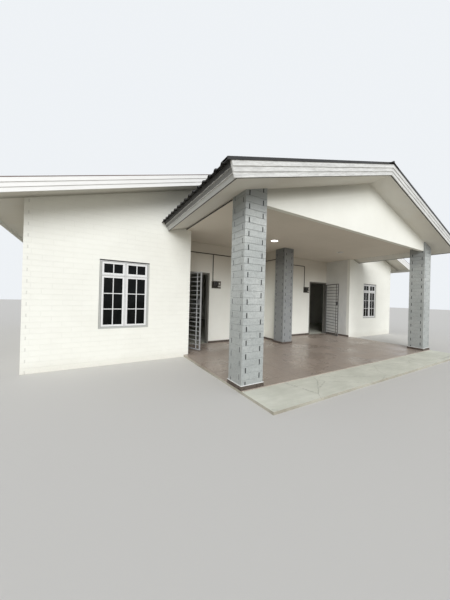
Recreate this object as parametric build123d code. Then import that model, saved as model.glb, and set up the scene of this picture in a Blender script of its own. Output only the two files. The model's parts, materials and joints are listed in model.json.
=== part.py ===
from build123d import *
import os

# A single-storey pair of dwellings under one gable roof, with a shared gabled porch in front.
# Millimetres. The front faces -Y. The origin is on the ground, at the middle of the front wall line.
# Everything is symmetrical about X = 0 apart from how far each gate stands open, the meters and the porch lights.

os.makedirs("parts", exist_ok=True)

# Levels above the ground
floor_z = 50
tile_t = 10
ceiling_above_floor = 2955
board_t = 9

# Walls in plan
half_width = 6115
house_depth = 9000
wall_t = 120
recess_half = 3140
recess_depth = 1110
fin_t = 120
fin_column_w = 370
fin_column_d = 440
fin_column_front_y = -20

# Porch in plan
column_size = 400
porch_beam_t = 105
column_front_y = -2610
slab_front_y = -3385
tile_front_y = -2640
porch_gable_setback = 38
porch_gable_t = 100
porch_gable_below_ceiling = 90

# Roofs: the slope is rise over run, and each edge height is of the fascia's lower edge above the floor
roof_slope = 0.31
main_eave_overhang = 575
main_edge_at_wall = 2893
main_fascia_h = 216
main_deck_above_edge = 186
main_rake_overhang = 660
porch_eave_overhang = 464
porch_edge_at_column = 2992
porch_fascia_h = 206
porch_rake_overhang = 496
fascia_steps = (14, 27, 40)
main_soffit_above_edge = 119
porch_soffit_above_edge = 2
sheet_t = 6
rib_pitch = 200
rib_h = 30
rib_base = 78
rib_crest = 34
sheet_past_eave = 120
porch_sheet_past_rake = 8
ridge_half_gap = 12
joint_gap = 2
ridge_cap_half = 190
ridge_cap_t = 5
ridge_roll_r = 28
verge_cap_t = 4

# Windows
window_w = 930
window_h = 1395
window_sill_above_floor = 686
front_window_from_recess = 1380
window_frame_w = 38
window_frame_d = 60
sash_w = 42
sash_d = 36
toplight_h = 268
mullion_w = 16
window_setback = 14
glass_t = 6
side_window_from_corner = 2600
rear_window_from_middle = 1700
rear_window_from_corner = 1540

# Doorways and gates
doorway_w = 1000
doorway_h = 2100
door_frame_w = 50
gate_hinge_inset = 40
gate_hinge_standoff = 30
gate_w = 980
gate_under_gap = 25
gate_head_gap = 85
gate_tube = 30
gate_stile_start = 14
gate_bar_h = 26
gate_bar_d = 14
gate_bar_count = 16
gate_inner_stile_from_edge = 150
gate_inner_stile_w = 22
gate_lock_z = 1180
gate_lock_h = 120
gate_lock_d = 22
hinge_pin_r = 6
hinge_bore_r = 6.05
hinge_knuckle_r = 11
hinge_knuckle_h = 60
hinge_arm_t = 8
hinge_gap = 1
hinge_heights = (300, 1750)
left_gate_open_deg = 71
right_gate_open_deg = 67

# Trim and fittings
skirting_h = 60
skirting_t = 12
conduit_r = 12
conduit_above_floor = 2670
conduit_bend = 40
conduit_clear = 0.4
left_meter_board_x = -2070
right_meter_board_x = 1800
meter_board_w = 300
meter_board_h = 220
meter_board_t = 18
meter_board_above_floor = 1650
meter_w = 150
meter_h = 170
meter_d = 90
meter_drop_from_board = 30
light_r = 112
light_t = 16
left_light_place = (-1005, -525)
right_light_place = (1650, -640)

# Worked-out levels and lines
slope_cos = 1 / (1 + roof_slope**2) ** 0.5
lean = roof_slope * slope_cos**2
ceiling_z = floor_z + ceiling_above_floor
wall_top_z = ceiling_z + board_t
gable_bottom_z = ceiling_z - porch_gable_below_ceiling
inner_half = half_width - wall_t
main_eave_x = half_width + main_eave_overhang
main_eave_z = floor_z + main_edge_at_wall - roof_slope * main_eave_overhang
porch_half = recess_half + porch_beam_t
porch_eave_x = porch_half + porch_eave_overhang
porch_eave_z = floor_z + porch_edge_at_column - roof_slope * porch_eave_overhang
rear_inner_y = house_depth - wall_t
entry_y = recess_depth
entry_back_y = recess_depth + wall_t
column_inner_x = porch_half - column_size
column_back_y = column_front_y + column_size
gable_face_y = column_front_y + porch_gable_setback
gable_back_y = gable_face_y + porch_gable_t
fin_column_back_y = fin_column_front_y + fin_column_d
fascia_t = max(fascia_steps)
doorway_outer_x = recess_half
doorway_inner_x = recess_half - doorway_w
doorway_top_z = floor_z + doorway_h
window_sill_z = floor_z + window_sill_above_floor
front_window_x = recess_half + front_window_from_recess
side_window_y = (side_window_from_corner, house_depth - side_window_from_corner)
rear_window_x = (rear_window_from_middle, half_width - rear_window_from_corner)
hinge_x = recess_half - gate_hinge_inset
hinge_y = entry_y - gate_hinge_standoff
gate_bottom_z = floor_z + gate_under_gap
gate_top_z = doorway_top_z - gate_head_gap
main_front_y = -main_rake_overhang
main_rear_y = house_depth + main_rake_overhang
porch_front_y = column_front_y - porch_rake_overhang


def main_roof(x, above_fascia_edge=0):
    """Height of the main roof's plane, measured up from the fascia's lower edge."""
    return main_eave_z + roof_slope * (main_eave_x - abs(x)) + above_fascia_edge


def porch_roof(x, above_fascia_edge=0):
    """Height of the porch roof's plane, measured up from the fascia's lower edge."""
    return porch_eave_z + roof_slope * (porch_eave_x - abs(x)) + above_fascia_edge


def main_deck(x):
    """The plane the main sheets lie on."""
    return main_roof(x, main_deck_above_edge)


def porch_deck(x):
    """The plane the porch sheets lie on."""
    return porch_roof(x, porch_fascia_h)


def block(x0, x1, y0, y1, z0, z1):
    """A box between two corners."""
    return Pos((x0 + x1) / 2, (y0 + y1) / 2, (z0 + z1) / 2) * Box(x1 - x0, y1 - y0, z1 - z0)


def cut_from_xz(points, y0, y1):
    """An outline drawn on the XZ plane and given a thickness along Y."""
    outline = Polyline([(x, y0, z) for x, z in points], close=True)
    return Solid.extrude(make_face(outline).face(), Vector(0, y1 - y0, 0))


def flipped(shape):
    """The same piece on the other side of X = 0."""
    return mirror(shape, about=Plane.YZ)


def save(name, *solids):
    """Writes one node. Several solids in it stand apart from each other."""
    shape = solids[0] if len(solids) == 1 else Compound(children=list(solids))
    export_step(shape, f"parts/{name}.step")


# Walls


def window_hole(centre_x, y0, y1):
    return block(
        centre_x - window_w / 2, centre_x + window_w / 2, y0, y1,
        window_sill_z, window_sill_z + window_h,
    )


def wing_front_wall():
    """The front wall of the left wing, up to the roof sheets."""
    outline = [
        (-half_width, 0),
        (-recess_half, 0),
        (-recess_half, main_deck(recess_half)),
        (-half_width, main_deck(half_width)),
    ]
    return cut_from_xz(outline, 0, wall_t) - window_hole(-front_window_x, -1, wall_t + 1)


def front_gable_wall():
    """The wall over the recess, between the wings, from the ceiling boards up to the ridge."""
    outline = [
        (-recess_half, wall_top_z),
        (recess_half, wall_top_z),
        (recess_half, main_deck(recess_half)),
        (0, main_deck(0)),
        (-recess_half, main_deck(recess_half)),
    ]
    return cut_from_xz(outline, 0, wall_t)


def side_wall():
    """The left side wall, between the front and rear walls."""
    outline = [
        (-half_width, 0),
        (-inner_half, 0),
        (-inner_half, main_deck(inner_half)),
        (-half_width, main_deck(half_width)),
    ]
    wall = cut_from_xz(outline, wall_t, rear_inner_y)
    for y in side_window_y:
        wall -= block(
            -half_width - 1, -inner_half + 1, y - window_w / 2, y + window_w / 2,
            window_sill_z, window_sill_z + window_h,
        )
    return wall


def rear_wall():
    outline = [
        (-half_width, 0),
        (half_width, 0),
        (half_width, main_deck(half_width)),
        (0, main_deck(0)),
        (-half_width, main_deck(half_width)),
    ]
    wall = cut_from_xz(outline, rear_inner_y, house_depth)
    for x in rear_window_x:
        for centre in (-x, x):
            wall -= window_hole(centre, rear_inner_y - 1, house_depth + 1)
    return wall


def return_wall():
    """The side of the recess, from the wing's front wall back to the entry wall."""
    return block(-recess_half - wall_t, -recess_half, wall_t, entry_back_y, 0, wall_top_z)


def doorway_lintel():
    return block(
        -doorway_outer_x, -doorway_inner_x, entry_y, entry_back_y, doorway_top_z, wall_top_z
    )


# Floors and ceilings


def house_floor():
    """The floor inside the walls, with a tongue through each doorway."""
    floor = block(-inner_half, inner_half, entry_back_y, rear_inner_y, 0, floor_z)
    for side in (-1, 1):
        wing = sorted((side * inner_half, side * (recess_half + wall_t)))
        floor += block(*wing, wall_t, entry_back_y, 0, floor_z)
        doorway = sorted((side * doorway_outer_x, side * doorway_inner_x))
        floor += block(*doorway, entry_y, entry_back_y, 0, floor_z)
    return floor


def porch_slab():
    top = floor_z - tile_t
    slab = block(-porch_half, porch_half, slab_front_y, 0, 0, top)
    slab += block(-recess_half, recess_half, 0, entry_y, 0, top)
    return slab


def porch_tiles():
    bottom = floor_z - tile_t
    tiles = block(-porch_half, porch_half, tile_front_y, 0, bottom, floor_z)
    tiles += block(-recess_half, recess_half, 0, entry_y, bottom, floor_z)
    return tiles


def house_ceiling():
    ceiling = block(-inner_half, inner_half, entry_back_y, rear_inner_y, ceiling_z, wall_top_z)
    for side in (-1, 1):
        wing = sorted((side * inner_half, side * (recess_half + wall_t)))
        ceiling += block(*wing, wall_t, entry_back_y, ceiling_z, wall_top_z)
    return ceiling


def porch_ceiling():
    """One flat ceiling over the porch and the recess, stopped at the columns."""
    ceiling = block(-recess_half, recess_half, gable_back_y, entry_y, ceiling_z, wall_top_z)
    for side in (-1, 1):
        column = sorted((side * column_inner_x, side * porch_half))
        ceiling -= block(*column, column_front_y, column_back_y, ceiling_z - 1, wall_top_z + 1)
    return ceiling


# Porch frame


def porch_column():
    """The left front column, cut to the slope under the roof sheets."""
    outline = [
        (-porch_half, floor_z),
        (-column_inner_x, floor_z),
        (-column_inner_x, porch_deck(column_inner_x)),
        (-porch_half, porch_deck(porch_half)),
    ]
    return cut_from_xz(outline, column_front_y, column_back_y)


def porch_side_beam():
    outline = [
        (-porch_half, ceiling_z),
        (-recess_half, ceiling_z),
        (-recess_half, porch_deck(recess_half)),
        (-porch_half, porch_deck(porch_half)),
    ]
    return cut_from_xz(outline, column_back_y, 0)


def porch_gable_wall():
    outline = [
        (-column_inner_x, gable_bottom_z),
        (column_inner_x, gable_bottom_z),
        (column_inner_x, porch_deck(column_inner_x)),
        (0, porch_deck(0)),
        (-column_inner_x, porch_deck(column_inner_x)),
    ]
    return cut_from_xz(outline, gable_face_y, gable_back_y)


# Roof edges


def fascia_profile(height):
    """Distance out from the back of the board, and height: three boards, each set back under the next."""
    points = [(0, 0)]
    for i, out in enumerate(fascia_steps):
        points.append((out, height * i / len(fascia_steps)))
        points.append((out, height * (i + 1) / len(fascia_steps)))
    points.append((0, height))
    return points


def square_end(eave_x, eave_z, y0, y1):
    """The space past the left eave, beyond the line square to the slope through the boards' lower outer corner."""
    up = (-roof_slope * slope_cos, slope_cos)
    low = (-eave_x - up[0] * 200, eave_z - up[1] * 200)
    high = (-eave_x + up[0] * 500, eave_z + up[1] * 500)
    return cut_from_xz([low, high, (high[0] - 600, high[1]), (low[0] - 600, low[1])], y0, y1)


def rake_fascia(eave_x, eave_z, height, face_y, outward):
    """The left sloping board of a gable. outward is -1 at a front and 1 at a rear."""
    back_y = face_y - outward * fascia_t
    extra = lean * height + 20
    outline = [
        (-eave_x - extra, back_y + outward * out, eave_z - roof_slope * extra + z)
        for out, z in fascia_profile(height)
    ]
    run = eave_x + extra - joint_gap / 2
    board = Solid.extrude(make_face(Polyline(outline, close=True)).face(), Vector(run, 0, roof_slope * run))
    ends = sorted((back_y, face_y))
    return board - square_end(eave_x, eave_z, ends[0] - 1, ends[1] + 1)


def eave_fascia(eave_x, eave_z, height, y0, y1):
    """The level board along the left eave, leaning square to the slope."""
    outline = []
    for out, z in fascia_profile(height):
        inward, rise = fascia_t - out, z * slope_cos
        outline.append((
            -eave_x + slope_cos * inward - roof_slope * slope_cos * rise,
            eave_z + roof_slope * slope_cos * inward + slope_cos * rise,
        ))
    return cut_from_xz(outline, y0, y1)


def soffit_end(eave_x, low):
    """How far out a soffit reaches, to the back of the leaning eave board."""
    return eave_x - slope_cos * fascia_t + lean * low


def soffit_strip(roof, low, x0, x1, y0, y1):
    """A board under the left slope, between two distances from the centre line."""
    high = low + board_t
    outline = [(-x1, roof(x1, low)), (-x0, roof(x0, low)), (-x0, roof(x0, high)), (-x1, roof(x1, high))]
    return cut_from_xz(outline, y0, y1)


def porch_front_soffit():
    strip = soffit_strip(
        porch_roof, porch_soffit_above_edge, joint_gap / 2, soffit_end(porch_eave_x, porch_soffit_above_edge),
        porch_front_y + fascia_t, gable_face_y,
    )
    return strip - porch_column()


# Roof covering


def rib_layout(y0, y1):
    """How many ribs fit between two edges, and the flat margin left at each edge."""
    ribs = int((y1 - y0) // rib_pitch)
    return ribs, (y1 - y0 - ribs * rib_pitch) / 2


def ribbed_profile(y0, y1):
    """The sheet's top line along Y, as (y, height) pairs: flat pans between raised ribs."""
    ribs, margin = rib_layout(y0, y1)
    line = [(y0, 0)]
    for i in range(ribs):
        middle = y0 + margin + rib_pitch * (i + 0.5)
        line += [
            (middle - rib_base / 2, 0),
            (middle - rib_crest / 2, rib_h),
            (middle + rib_crest / 2, rib_h),
            (middle + rib_base / 2, 0),
        ]
    line.append((y1, 0))
    return line


def roof_sheets(deck, eave_x, y0, y1):
    """Ribbed sheets of the left slope, from the ridge to past the eave."""
    line = ribbed_profile(y0, y1)
    ridge_x = -ridge_half_gap
    ridge_z = deck(ridge_half_gap)
    outline = [(ridge_x, y, ridge_z + z + sheet_t) for y, z in line]
    outline += [(ridge_x, y, ridge_z + z) for y, z in reversed(line)]
    run = eave_x + sheet_past_eave - ridge_half_gap
    return Solid.extrude(make_face(Polyline(outline, close=True)).face(), Vector(-run, 0, -roof_slope * run))


def verge_cap(deck, eave_x, y0, y1, lip_y, lip, at_rear=False):
    """The left slope's folded edge cap: its upper leg lies on the outermost rib, and its lip hangs at lip_y."""
    margin = rib_layout(y0, y1)[1]
    reach = margin + (rib_pitch + rib_crest) / 2
    edge, inward = (y1, -1) if at_rear else (y0, 1)
    face_y = lip_y - inward * verge_cap_t
    top = sheet_t + rib_h
    start_x = ridge_cap_half + joint_gap
    start_z = deck(start_x)
    outline = [
        (-start_x, face_y, start_z + lip),
        (-start_x, lip_y, start_z + lip),
        (-start_x, lip_y, start_z + top),
        (-start_x, edge + inward * reach, start_z + top),
        (-start_x, edge + inward * reach, start_z + top + verge_cap_t),
        (-start_x, face_y, start_z + top + verge_cap_t),
    ]
    run = eave_x + sheet_past_eave - start_x
    return Solid.extrude(make_face(Polyline(outline, close=True)).face(), Vector(-run, 0, -roof_slope * run))


def ridge_cap(deck, y0, y1):
    """A folded cap that sits on the crests of both slopes, with a roll along its top."""
    crest = deck(0) + sheet_t + rib_h
    low = crest - roof_slope * ridge_cap_half
    outline = [
        (-ridge_cap_half, low),
        (0, crest),
        (ridge_cap_half, low),
        (ridge_cap_half, low + ridge_cap_t),
        (0, crest + ridge_cap_t),
        (-ridge_cap_half, low + ridge_cap_t),
    ]
    roll = Pos(0, y0, crest + ridge_cap_t) * Rot(-90, 0, 0) * Cylinder(
        ridge_roll_r, y1 - y0, align=(Align.CENTER, Align.CENTER, Align.MIN)
    )
    under = cut_from_xz([(-ridge_cap_half, low), (0, crest), (ridge_cap_half, low)], y0, y1)
    return cut_from_xz(outline, y0, y1) + (roll - under)


# Windows, drawn facing -Y with the sill's middle at the origin


def window_frame():
    """Outer frame with two toplights over two casements, as one welded frame."""
    half = window_w / 2
    frame = block(-half, half, 0, window_frame_d, 0, window_h)
    inner = half - window_frame_w
    frame -= block(-inner, inner, -1, window_frame_d + 1, window_frame_w, window_h - window_frame_w)
    sash_y = (window_frame_d - sash_d) / 2
    transom_z = window_h - window_frame_w - toplight_h
    rows = ((window_frame_w, transom_z - mullion_w), (transom_z, window_h - window_frame_w))
    frame += block(-mullion_w / 2, mullion_w / 2, 0, window_frame_d, window_frame_w, window_h - window_frame_w)
    frame += block(-inner, inner, 0, window_frame_d, transom_z - mullion_w, transom_z)
    for low, high in rows:
        for x0, x1 in ((-inner, -mullion_w / 2), (mullion_w / 2, inner)):
            sash = block(x0, x1, sash_y, sash_y + sash_d, low, high)
            sash -= block(x0 + sash_w, x1 - sash_w, -1, window_frame_d + 1, low + sash_w, high - sash_w)
            frame += sash
    middle_y = window_frame_d / 2
    return frame - block(
        -inner + glass_edge(), inner - glass_edge(), middle_y - glass_t / 2, middle_y + glass_t / 2,
        window_frame_w + glass_edge(), window_h - window_frame_w - glass_edge(),
    )


def glass_edge():
    """How far the glass sits inside the outer frame, half way into the sash."""
    return sash_w / 2


def window_glass():
    inner = window_w / 2 - window_frame_w - glass_edge()
    middle_y = window_frame_d / 2
    return block(
        -inner, inner, middle_y - glass_t / 2, middle_y + glass_t / 2,
        window_frame_w + glass_edge(), window_h - window_frame_w - glass_edge(),
    )


def in_front_wall(shape, x):
    return Pos(x, window_setback, window_sill_z) * shape


def in_left_wall(shape, y):
    return Pos(-half_width + window_setback, y, window_sill_z) * Rot(0, 0, -90) * shape


def in_rear_wall(shape, x):
    return Pos(x, house_depth - window_setback, window_sill_z) * Rot(0, 0, 180) * shape


# Doorways and gates


def door_frame():
    """Jambs and head of the left doorway."""
    outer = block(-doorway_outer_x, -doorway_inner_x, entry_y, entry_back_y, floor_z, doorway_top_z)
    return outer - block(
        -doorway_outer_x + door_frame_w, -doorway_inner_x - door_frame_w,
        entry_y - 1, entry_back_y + 1, floor_z - 1, doorway_top_z - door_frame_w,
    )


def gate_leaf():
    """A barred gate, closed, with its hinge axis on Z and its free edge along +X."""
    half = gate_tube / 2
    height = gate_top_z - gate_bottom_z
    left, right = gate_stile_start, gate_w
    leaf = block(left, left + gate_tube, -half, half, 0, height)
    leaf += block(right - gate_tube, right, -half, half, 0, height)
    for z in (0, height - gate_tube):
        leaf += block(left, right, -half, half, z, z + gate_tube)
    inner = right - gate_inner_stile_from_edge
    leaf += block(inner - gate_inner_stile_w, inner, -gate_tube / 3, gate_tube / 3, 0, height)
    step = (height - gate_tube) / (gate_bar_count + 1)
    for i in range(1, gate_bar_count + 1):
        z = gate_tube / 2 + step * i
        leaf += block(
            left + half, right - half, -gate_bar_d / 2, gate_bar_d / 2, z - gate_bar_h / 2, z + gate_bar_h / 2
        )
    leaf += block(
        inner - gate_inner_stile_w, right - half, -gate_lock_d / 2, gate_lock_d / 2,
        gate_lock_z, gate_lock_z + gate_lock_h,
    )
    for z in hinge_heights:
        leaf += Pos(0, 0, z) * Cylinder(hinge_knuckle_r, hinge_knuckle_h, align=(Align.CENTER, Align.CENTER, Align.MIN))
        leaf += block(0, left + 1, -hinge_knuckle_r / 2, hinge_knuckle_r / 2, z, z + hinge_knuckle_h)
        leaf -= Pos(0, 0, z - 1) * Cylinder(hinge_bore_r, hinge_knuckle_h + 2, align=(Align.CENTER, Align.CENTER, Align.MIN))
    return leaf


def hung(leaf, open_deg):
    """The left gate at its hinge, standing open."""
    return Pos(-hinge_x, hinge_y, gate_bottom_z) * Rot(0, 0, -open_deg) * leaf


def gate_pins():
    """Two fixed pins, each on an arm from the left jamb."""
    pins = []
    for z in hinge_heights:
        arm_top = gate_bottom_z + z - hinge_gap
        arm = block(
            -hinge_x - hinge_pin_r, -hinge_x + hinge_pin_r, hinge_y, entry_y, arm_top - hinge_arm_t, arm_top
        )
        pin = Pos(-hinge_x, hinge_y, arm_top - hinge_arm_t) * Cylinder(
            hinge_pin_r, hinge_arm_t + hinge_gap + hinge_knuckle_h, align=(Align.CENTER, Align.CENTER, Align.MIN)
        )
        pins.append(arm + pin)
    return pins


# Trim and fittings


def column_skirting(x0, x1, y0, y1):
    """A tile collar round the foot of a column."""
    t = skirting_t
    collar = block(x0 - t, x1 + t, y0 - t, y1 + t, floor_z, floor_z + skirting_h)
    return collar - block(x0, x1, y0, y1, floor_z - 1, floor_z + skirting_h + 1)


def fin_column_skirting():
    """The collar of the middle column, open behind where the party fin meets it."""
    half = fin_column_w / 2
    collar = column_skirting(-half, half, fin_column_front_y, fin_column_back_y)
    return collar - block(
        -fin_t / 2, fin_t / 2, fin_column_back_y - 1, entry_y, floor_z - 1, floor_z + skirting_h + 1
    )


def entry_skirting():
    """Left half: along the entry wall, the party fin and the recess side."""
    top = floor_z + skirting_h
    fin_x = fin_t / 2
    t = skirting_t
    along_entry = block(-doorway_inner_x, -fin_x - t - joint_gap, entry_y - t, entry_y, floor_z, top)
    along_fin = block(
        -fin_x - t, -fin_x, fin_column_back_y + t + joint_gap, entry_y, floor_z, top
    )
    along_return = block(-recess_half, -recess_half + t, 0, hinge_y - gate_tube, floor_z, top)
    return [along_entry, along_fin, along_return]


def meter_board(x):
    z = floor_z + meter_board_above_floor
    return block(x, x + meter_board_w, entry_y - meter_board_t, entry_y, z, z + meter_board_h)


def meter(board_x):
    """A meter case with a rounded front, on the left end of its board."""
    margin = (meter_board_h - meter_h) / 2
    x = board_x + margin
    z = floor_z + meter_board_above_floor + margin
    back_y = entry_y - meter_board_t
    case = block(x, x + meter_w, back_y - meter_d, back_y, z, z + meter_h)
    front = case.edges().group_by(Axis.Y)[0]
    return fillet(front, meter_d / 4)


def conduit(points):
    path = FilletPolyline(points, radius=conduit_bend)
    start = Plane(origin=path @ 0, z_dir=path % 0)
    return sweep(start * Circle(conduit_r), path)


def left_conduits():
    """The main run from the recess side along the wall and the fin, and the drop to the meter."""
    y = entry_y - conduit_r - conduit_clear
    z = floor_z + conduit_above_floor
    fin_x = -fin_t / 2 - conduit_r - conduit_clear
    run = conduit([(-recess_half, y, z), (fin_x, y, z), (fin_x, fin_column_back_y, z)])
    drop_top = z - conduit_r - conduit_clear
    drop_bottom = floor_z + meter_board_above_floor + meter_board_h
    drop = Pos(left_meter_board_x + meter_drop_from_board, y, drop_bottom) * Cylinder(
        conduit_r, drop_top - drop_bottom, align=(Align.CENTER, Align.CENTER, Align.MIN)
    )
    return [run, drop]


def right_conduit():
    """From the fin along the wall, then down to the meter."""
    y = entry_y - conduit_r - conduit_clear
    z = floor_z + conduit_above_floor
    drop_bottom = floor_z + meter_board_above_floor + meter_board_h
    drop_x = right_meter_board_x + meter_drop_from_board
    return conduit([(fin_t / 2, y, z), (drop_x, y, z), (drop_x, y, drop_bottom)])


def ceiling_light(place):
    x, y = place
    disc = Cylinder(light_r, light_t, align=(Align.CENTER, Align.CENTER, Align.MAX))
    lower_rim = disc.edges().sort_by(Axis.Z)[0]
    return Pos(x, y, ceiling_z) * chamfer(lower_rim, light_t / 3)


def write_walls():
    wing = wing_front_wall()
    save("left_front_wall", wing)
    save("right_front_wall", flipped(wing))
    save("front_gable_wall", front_gable_wall())
    side = side_wall()
    save("left_side_wall", side)
    save("right_side_wall", flipped(side))
    save("rear_wall", rear_wall())
    save("recess_side_walls", return_wall(), flipped(return_wall()))
    save(
        "entry_wall",
        block(-doorway_inner_x, doorway_inner_x, entry_y, entry_back_y, 0, wall_top_z),
    )
    save("door_lintels", doorway_lintel(), flipped(doorway_lintel()))
    fin_column = block(
        -fin_column_w / 2, fin_column_w / 2, fin_column_front_y, fin_column_back_y, floor_z, ceiling_z
    )
    save("fin_column", fin_column)
    save("party_fin_wall", block(-fin_t / 2, fin_t / 2, fin_column_back_y, entry_y, floor_z, ceiling_z))


def write_floors_and_ceilings():
    save("house_floor", house_floor())
    save("porch_slab", porch_slab())
    save("porch_tiles", porch_tiles())
    save("house_ceiling", house_ceiling())
    save("porch_ceiling", porch_ceiling())


def write_porch_frame():
    save("left_porch_column", porch_column())
    save("right_porch_column", flipped(porch_column()))
    save("porch_side_beams", porch_side_beam(), flipped(porch_side_beam()))
    save("porch_gable_wall", porch_gable_wall())


def write_roof_edges():
    main_front = rake_fascia(main_eave_x, main_eave_z, main_fascia_h, main_front_y, -1)
    main_rear = rake_fascia(main_eave_x, main_eave_z, main_fascia_h, main_rear_y, 1)
    save("main_gable_fascias", main_front, flipped(main_front), main_rear, flipped(main_rear))
    main_eave = eave_fascia(
        main_eave_x, main_eave_z, main_deck_above_edge, main_front_y + fascia_t, main_rear_y - fascia_t
    )
    save("main_eave_fascias", main_eave, flipped(main_eave))
    porch_front = rake_fascia(porch_eave_x, porch_eave_z, porch_fascia_h, porch_front_y, -1)
    save("porch_gable_fascia", porch_front, flipped(porch_front))
    porch_eave = eave_fascia(porch_eave_x, porch_eave_z, porch_fascia_h, porch_front_y + fascia_t, 0)
    save("porch_eave_fascias", porch_eave, flipped(porch_eave))


def write_soffits():
    half_gap = joint_gap / 2
    low = main_soffit_above_edge
    inner_eave = soffit_end(main_eave_x, low)
    front = soffit_strip(main_roof, low, half_gap, inner_eave, main_front_y + fascia_t, 0)
    rear = soffit_strip(main_roof, low, half_gap, inner_eave, house_depth, main_rear_y - fascia_t)
    eave = soffit_strip(main_roof, low, half_width, inner_eave, 0, house_depth)
    save("main_gable_soffits", front, flipped(front), rear, flipped(rear))
    save("main_eave_soffits", eave, flipped(eave))
    low = porch_soffit_above_edge
    porch_front = porch_front_soffit()
    porch_side = soffit_strip(porch_roof, low, porch_half, soffit_end(porch_eave_x, low), gable_face_y, 0)
    save("porch_soffits", porch_front, flipped(porch_front), porch_side, flipped(porch_side))


def write_roof_covering():
    y0, y1 = main_front_y + fascia_t + joint_gap, main_rear_y - fascia_t - joint_gap
    main = roof_sheets(main_deck, main_eave_x, y0, y1)
    save("main_roof_left", main)
    save("main_roof_right", flipped(main))
    save("main_ridge_cap", ridge_cap(main_deck, main_front_y - verge_cap_t, main_rear_y + verge_cap_t))
    lip = main_fascia_h - main_deck_above_edge - joint_gap
    front = verge_cap(main_deck, main_eave_x, y0, y1, main_front_y, lip)
    rear = verge_cap(main_deck, main_eave_x, y0, y1, main_rear_y, lip, at_rear=True)
    save("main_verge_caps", front, flipped(front), rear, flipped(rear))

    y0, y1 = porch_front_y - porch_sheet_past_rake, 0
    porch = roof_sheets(porch_deck, porch_eave_x, y0, y1)
    save("porch_roof_left", porch)
    save("porch_roof_right", flipped(porch))
    save("porch_ridge_cap", ridge_cap(porch_deck, y0 - verge_cap_t, y1))
    front = verge_cap(porch_deck, porch_eave_x, y0, y1, y0, 0)
    save("porch_verge_caps", front, flipped(front))


def write_windows():
    frame, glass = window_frame(), window_glass()
    save("left_front_window", in_front_wall(frame, -front_window_x))
    save("right_front_window", in_front_wall(frame, front_window_x))
    panes = [in_front_wall(glass, -front_window_x), in_front_wall(glass, front_window_x)]
    side_frames = []
    for y in side_window_y:
        left_frame, left_pane = in_left_wall(frame, y), in_left_wall(glass, y)
        side_frames += [left_frame, flipped(left_frame)]
        panes += [left_pane, flipped(left_pane)]
    save("side_windows", *side_frames)
    rear_places = [side * x for x in rear_window_x for side in (-1, 1)]
    save("rear_windows", *[in_rear_wall(frame, x) for x in rear_places])
    panes += [in_rear_wall(glass, x) for x in rear_places]
    save("window_glass", *panes)


def write_doorways():
    save("door_frames", door_frame(), flipped(door_frame()))
    leaf = gate_leaf()
    save("left_gate", hung(leaf, left_gate_open_deg))
    save("right_gate", flipped(hung(leaf, right_gate_open_deg)))
    pins = gate_pins()
    save("gate_hinge_pins", *pins, *[flipped(p) for p in pins])


def write_trim():
    left_collar = column_skirting(-porch_half, -column_inner_x, column_front_y, column_back_y)
    strips = entry_skirting()
    save(
        "tile_skirtings",
        left_collar, flipped(left_collar), fin_column_skirting(), *strips, *[flipped(s) for s in strips],
    )
    board_places = (left_meter_board_x, right_meter_board_x)
    save("meter_boards", *[meter_board(x) for x in board_places])
    save("meters", *[meter(x) for x in board_places])
    save("wall_conduits", *left_conduits(), right_conduit())
    save("ceiling_lights", ceiling_light(left_light_place), ceiling_light(right_light_place))


write_walls()
write_floors_and_ceilings()
write_porch_frame()
write_roof_edges()
write_soffits()
write_roof_covering()
write_windows()
write_doorways()
write_trim()
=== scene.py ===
import json
import math
import random

import bmesh
import bpy
from mathutils import Matrix, Vector


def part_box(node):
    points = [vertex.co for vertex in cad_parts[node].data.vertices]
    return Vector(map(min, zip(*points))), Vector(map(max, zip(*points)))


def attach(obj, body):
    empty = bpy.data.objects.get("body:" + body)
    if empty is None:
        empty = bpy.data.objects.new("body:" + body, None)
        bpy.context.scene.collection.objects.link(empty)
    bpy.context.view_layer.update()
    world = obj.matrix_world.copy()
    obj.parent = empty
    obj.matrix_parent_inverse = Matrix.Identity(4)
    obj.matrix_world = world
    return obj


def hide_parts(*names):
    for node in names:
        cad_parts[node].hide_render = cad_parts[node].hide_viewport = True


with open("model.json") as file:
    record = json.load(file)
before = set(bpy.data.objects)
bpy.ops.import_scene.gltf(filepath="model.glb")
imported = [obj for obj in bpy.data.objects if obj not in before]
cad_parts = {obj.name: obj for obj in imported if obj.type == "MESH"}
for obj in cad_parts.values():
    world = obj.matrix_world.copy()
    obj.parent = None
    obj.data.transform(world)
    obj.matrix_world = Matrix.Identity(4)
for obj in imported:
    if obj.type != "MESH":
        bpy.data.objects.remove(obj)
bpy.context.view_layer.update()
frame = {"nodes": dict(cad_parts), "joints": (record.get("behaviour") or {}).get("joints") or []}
cadNodes = frame["nodes"]
scene = bpy.context.scene

roofSlope = 0.31  # rise over run of both roofs

# camera at the photograph's place, in metres and radians
photoCamera = {
    "place": (-5.168, -5.711, 1.425), "yaw": 0.5888, "pitch": 0.0029, "roll": 0.0259,
    "lens": 14.717, "sensor": 36.0, "shift": (-0.0442, -0.0040), "farClip": 200.0,
}

studio = {
    "floorHalf": 60.0, "floorRoughness": 0.9,
    "floorSeen": (0.66, 0.65, 0.63), "floorBounce": (0.44, 0.405, 0.345),
    "skyColour": (0.96, 0.98, 1.0), "skyStrength": 0.58, "backdropColour": (0.86, 0.89, 0.92),
    "sunStrength": 2.4, "sunAngle": 40.0, "sunTurn": (68.0, 0.0, -26.0),
}


# helpers


def addObject(name, data):
    added = bpy.data.objects.new(name, data)
    scene.collection.objects.link(added)
    return added


def setInput(tree, socket, value):
    # links an output, or writes a plain value; colours are given without their alpha
    if isinstance(value, bpy.types.NodeSocket):
        tree.links.new(value, socket)
    elif socket.type == "RGBA":
        socket.default_value = (*value, 1.0)
    else:
        socket.default_value = value


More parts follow.
